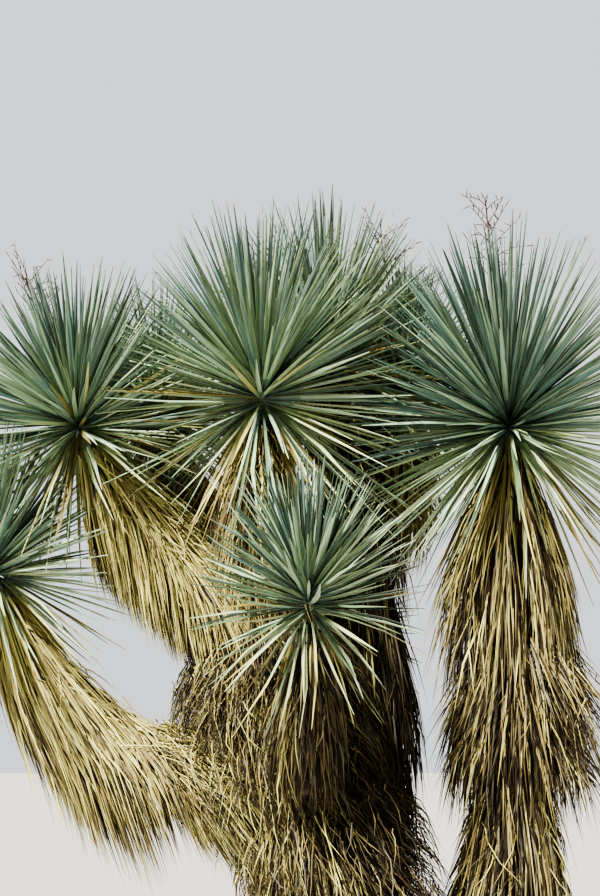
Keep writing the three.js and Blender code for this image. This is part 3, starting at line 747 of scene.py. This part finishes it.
    def slots(leaves, rings, corners):
        return np.repeat(tints, (rings - 2) * corners), np.repeat(tints, corners), tints

    piece = makeBlades(name + "_leaves", centre[kept], across[kept], keel[kept], half[kept], fold[kept],
                       thick[kept], deadStations, deadSection, slots, deadMaterials)
    place(piece, "dead_leaves", name)
    return int(kept.sum())


hanging = {name: growSkirt(name) for name in skirts}
print("dead leaves:", sum(hanging.values()))


# Wood: every limb is a closed tube with its bark's relief in the mesh. Furrowed bark covers the foot,
# and rows of leaf scars take over higher up.
barkRelief = {
    "furrow": .014, "furrowSize": (.020, .13), "check": .004, "checkSize": (.014, .022), "wander": .6,
    "swell": .012, "swellRate": 7, "rough": .003, "roughRate": 45, "fibre": .0014, "fibreRates": (260, 18),
    "scar": .0035, "scarRows": 7, "scarRate": 74, "wornFrom": .35, "wornOver": .4, "sunk": .010,
    "thickLimb": .1,
}


def furrowed(flat, height, size):  # 0 in a winding crack, 1 on the ridges between
    wide, tall = size
    spot = flat / wide + Vector((0, 0, height / tall))
    spot += noise.noise_vector(spot * .7) * barkRelief["wander"]
    return min(1, abs(noise.noise(spot)) * 5.5) ** .7


def barkHeight(place, angle, girth, height):  # how far the bark stands out, and how deep in a crack it is
    flat = Vector((math.cos(angle) * girth, math.sin(angle) * girth, 0))
    around, upwards = barkRelief["fibreRates"]
    ridge = furrowed(flat, height, barkRelief["furrowSize"])
    check = furrowed(flat + Vector((3, 0, 0)), height, barkRelief["checkSize"])
    swell = noise.noise(Vector(place) * barkRelief["swellRate"])
    rough = noise.fractal(Vector(place) * barkRelief["roughRate"], 1, 2, 4)
    fibre = noise.noise(flat * around + Vector((0, 0, height * upwards)))
    turned, climbed = angle * barkRelief["scarRows"], height * barkRelief["scarRate"]
    scars = math.sin(turned + climbed) * math.sin(turned - climbed)
    worn = min(1, max(0, (height - barkRelief["wornFrom"]) / barkRelief["wornOver"]))
    stands = ((barkRelief["furrow"] * ridge + barkRelief["check"] * check) * mix(1, .4, worn)
              + barkRelief["scar"] * worn * abs(scars) + barkRelief["swell"] * swell
              + barkRelief["rough"] * rough + barkRelief["fibre"] * fibre)
    return stands * min(1, girth / barkRelief["thickLimb"]), 1 - ridge * mix(.75, 1, check)


def surfaceSpot(name, u, angle):  # a point on the limb's plain surface, and the way out from it
    here = frameAt(lines[name], u)
    out = here["side"] * math.sin(angle) + here["front"] * math.cos(angle)
    return here["point"] + out * float(limbRadius(name, u, angle)), out


def groundShare(name, angle):  # where the limb's surface comes out of the ground on this side
    shares = np.linspace(0, .1, 120)
    return shares[np.argmax([surfaceSpot(name, u, angle)[0][2] > 0 for u in shares])]


def growLimb(name):
    limb = limbs[name]
    line = lines[name]
    around, rows = limb["around"], limb["rows"]
    angles = np.linspace(0, 2 * math.pi, around, endpoint=False)
    starts = [groundShare(name, angle) if name == "trunk" else 0 for angle in angles]
    sunk = barkRelief["sunk"] * min(1, limb["root"] / barkRelief["thickLimb"])
    vertices, cracks = [], []
    for row, done in enumerate(np.linspace(0, 1, rows) ** limb.get("footRows", 1)):
        for angle, start in zip(angles, starts):
            u = mix(start, 1, done)
            spot, out = surfaceSpot(name, u, angle)
            stands, crack = barkHeight(spot, angle, limb["root"], float(u) * line["length"])
            spot = spot + out * (stands - sunk)
            if name == "trunk":
                spot[2] = max(0, spot[2]) if row else 0
            vertices.append(spot)
            cracks.append(crack)
    ring = np.arange(rows - 1)[:, None] * around
    corner = np.arange(around)
    after = (corner + 1) % around
    walls = np.stack([ring + after, ring + corner, ring + around + corner, ring + around + after], axis=-1)
    caps = [list(corner), list((corner + around * (rows - 1))[::-1])]
    mesh = bpy.data.meshes.new(name)
    mesh.from_pydata(vertices, [], walls.reshape(-1, 4).tolist() + caps)
    mesh.attributes.new("crack", "FLOAT", "POINT").data.foreach_set("value", cracks)
    mesh.polygons.foreach_set("use_smooth", [True] * (len(mesh.polygons) - 2) + [False] * 2)
    mesh.materials.append(barkMaterial)
    place(newObject(name + "_bark", mesh), "bark", name)


def makeBarkMaterial():
    material, tree, shader = newMaterial("bark", dryShine)
    where = tree.nodes.new("ShaderNodeTexCoord").outputs["Object"]

    def stretched(scale):
        stretch = tree.nodes.new("ShaderNodeMapping")
        stretch.inputs["Scale"].default_value = scale
        tree.links.new(where, stretch.inputs["Vector"])
        return stretch.outputs[0]

    grain = noiseNode(tree, stretched((26, 26, 7)), 8.0, .65)
    fibres = noiseNode(tree, stretched((150, 150, 20)), 5.0)
    crack = tree.nodes.new("ShaderNodeAttribute")
    crack.attribute_name = "crack"
    streaks = mathNode(tree, "MULTIPLY", mathNode(tree, "SUBTRACT", fibres, .5), .7)
    # The bark is darker down in its cracks: painted shade in the recesses
    shade = mathNode(tree, "SUBTRACT", grain, mathNode(tree, "MULTIPLY", crack.outputs["Fac"], .3))
    shades = tree.nodes.new("ShaderNodeValToRGB")
    shades.color_ramp.elements[0].position = .22
    shades.color_ramp.elements[0].color = linear(46, 40, 34)
    shades.color_ramp.elements[1].position = .68
    shades.color_ramp.elements[1].color = linear(158, 150, 134)
    shades.color_ramp.elements.new(.45).color = linear(112, 102, 88)
    tree.links.new(mathNode(tree, "ADD", shade, streaks), shades.inputs[0])
    tree.links.new(shades.outputs[0], shader.inputs["Base Color"])
    bump = tree.nodes.new("ShaderNodeBump")
    bump.inputs["Distance"].default_value = .008
    tree.links.new(fibres, bump.inputs["Height"])
    tree.links.new(bump.outputs[0], shader.inputs["Normal"])
    shader.inputs["Roughness"].default_value = .88
    return material


barkMaterial = makeBarkMaterial()
for name in limbs:
    growLimb(name)
print("limbs dressed in bark")

# Dried flower stalks: the head that each stands in and the point that it leans to
stalks = {
    "stalk_right": {"head": "head_right", "to": (.398, .04, 3.21)},
    "stalk_right_back": {"head": "head_right_back", "to": (.095, .345, 3.23)},
    "stalk_left_high": {"head": "head_left_high", "to": (-.985, -.02, 2.935)},
}
stalkShape = {
    "foot": .0055, "tip": .0018, "footAt": .6, "beside": .016, "bow": .02, "spans": 13, "sides": 8,
}
twigShape = {
    "count": 18, "from": .55, "to": .97, "rises": (.9, 1.6), "reach": .12, "lengths": (.6, 1), "bend": .25,
    "stations": (0, .35, .7, 1), "radii": .0013 * np.array([1.2, 1, .8, .45]), "sides": 5,
}
sprigShape = {
    "count": 4, "from": .35, "every": .2, "spread": .7, "stations": (0, .014, .026),
    "radii": [.0011, .0013, .0006], "sides": 4,
}


def tube(spots, radii, sides, vertices, faces):  # adds a closed tube to a mesh's lists
    spots = np.array(spots)
    tangent = unit(np.gradient(spots, axis=0))
    side = crossways(np.tile([.31, .95, .05], (len(spots), 1)), tangent)
    other = np.cross(tangent, side)
    first = len(vertices)
    for spot, radius, a, b in zip(spots, radii, side, other):
        for k in range(sides):
            angle = 2 * math.pi * k / sides
            vertices.append(spot + (a * math.cos(angle) + b * math.sin(angle)) * radius)
    for row in range(len(spots) - 1):
        for k in range(sides):
            low, high = first + row * sides, first + (row + 1) * sides
            faces.append((low + k, low + (k + 1) % sides, high + (k + 1) % sides, high + k))
    faces.append(tuple(first + k for k in reversed(range(sides))))
    faces.append(tuple(first + (len(spots) - 1) * sides + k for k in range(sides)))


def growStalk(name):
    stalk = stalks[name]
    foot, axis, _, _ = headFrame(heads[stalk["head"]])
    random = randomFor(name)
    end = np.array(stalk["to"])
    beside = crossways(end - foot, axis) * stalkShape["beside"]
    start = foot + axis * bud["height"] * stalkShape["footAt"] + beside
    half = (start + end) / 2 + axis * stalkShape["bow"]
    spans = stalkShape["spans"]
    share = np.linspace(0, 1, spans + 1)[:, None]
    bowed = 2 * half - (start + end) / 2
    spots = mix(mix(start, bowed, share), mix(bowed, end, share), share)
    vertices, faces = [], []
    radii = mix(stalkShape["foot"], stalkShape["tip"], share[:, 0])
    tube(spots, radii, stalkShape["sides"], vertices, faces)
    for twig in range(twigShape["count"]):
        rank = mix(twigShape["from"], twigShape["to"], twig / (twigShape["count"] - 1)) * spans
        low = int(rank)
        root = mix(spots[low], spots[min(low + 1, spans)], rank - low)
        turn = twig * goldenAngle
        rise = up * mix(*twigShape["rises"], random.random())
        out = unit(np.array([math.cos(turn), math.sin(turn), 0.0]) + rise)
        reach = twigShape["reach"] * mix(*twigShape["lengths"], random.random())
        bend = random.standard_normal(3) * twigShape["bend"]
        line = [root + (out * t + bend * t * t) * reach for t in twigShape["stations"]]
        tube(line, twigShape["radii"], twigShape["sides"], vertices, faces)
        for sprig in range(sprigShape["count"]):
            t = sprigShape["from"] + sprigShape["every"] * sprig
            base = root + (out * t + bend * t * t) * reach
            way = unit(out + random.standard_normal(3) * sprigShape["spread"])
            line = [base + way * run for run in sprigShape["stations"]]
            tube(line, sprigShape["radii"], sprigShape["sides"], vertices, faces)
    mesh = bpy.data.meshes.new(name)
    mesh.from_pydata(vertices, [], faces)
    mesh.materials.append(stalkMaterial)
    place(newObject(name + "_twigs", mesh), "dry_stalk", name)


stalkMaterial = leafMaterial("dry_stalk", linear(92, 66, 56), dryFibre, dryShine)
for name in stalks:
    growStalk(name)
print("flower stalks built")

# Camera at the photograph's viewing angle, from eye height, looking up at the crown
cameraSetting = {"place": (-.170, -3.5, 1.6), "pitch": 13.2, "lens": 50, "sensor": 36}


def makeCamera():
    data = bpy.data.cameras.new("camera")
    data.lens = cameraSetting["lens"]
    data.sensor_width = cameraSetting["sensor"]
    camera = newObject("camera", data)
    camera.location = cameraSetting["place"]
    camera.rotation_euler = (math.radians(90 + cameraSetting["pitch"]), 0, 0)
    bpy.context.scene.camera = camera


# A plain pale floor and sky, with a soft key light from the upper left and a weak fill
lightSetting = {
    "key": {"strength": 8.8, "softness": 4, "tilt": 43, "turn": -33, "colour": (1.0, .975, .91)},
    "back": {"strength": .4, "softness": 50, "tilt": 50, "turn": 165, "colour": (.9, .95, 1.0)},
}
sky = {"colour": (.84, .87, .91), "seen": .9, "light": .08}  # the pale backdrop, and the light it gives
ground = {"halfWidth": 60, "colour": (.54, .53, .51, 1), "roughness": .9, "shine": .5}


def makeStage():
    world = bpy.data.worlds.new("sky")
    world.use_nodes = True
    tree = world.node_tree
    backdrop = tree.nodes["Background"]
    backdrop.inputs["Color"].default_value = (*sky["colour"], 1)
    seen = mathNode(tree, "MULTIPLY", tree.nodes.new("ShaderNodeLightPath").outputs["Is Camera Ray"],
                    sky["seen"] - sky["light"])
    tree.links.new(mathNode(tree, "ADD", seen, sky["light"]), backdrop.inputs["Strength"])
    bpy.context.scene.world = world
    for name, setting in lightSetting.items():
        lamp = bpy.data.lights.new(name, "SUN")
        lamp.energy = setting["strength"]
        lamp.angle = math.radians(setting["softness"])
        lamp.color = setting["colour"]
        light = newObject(name, lamp)
        light.rotation_euler = (math.radians(setting["tilt"]), 0, math.radians(setting["turn"]))
    mesh = bpy.data.meshes.new("floor")
    wide = ground["halfWidth"]
    corners = [(-wide, -wide, 0), (wide, -wide, 0), (wide, wide, 0), (-wide, wide, 0)]
    mesh.from_pydata(corners, [], [(0, 1, 2, 3)])
    paint, _, shader = newMaterial("floor", ground["shine"])
    shader.inputs["Base Color"].default_value = ground["colour"]
    shader.inputs["Roughness"].default_value = ground["roughness"]
    mesh.materials.append(paint)
    floor = newObject("floor", mesh)


bpy.context.scene.view_settings.look = "AgX - High Contrast"  # deep shade between leaves, as in strong sun
makeCamera()
makeStage()
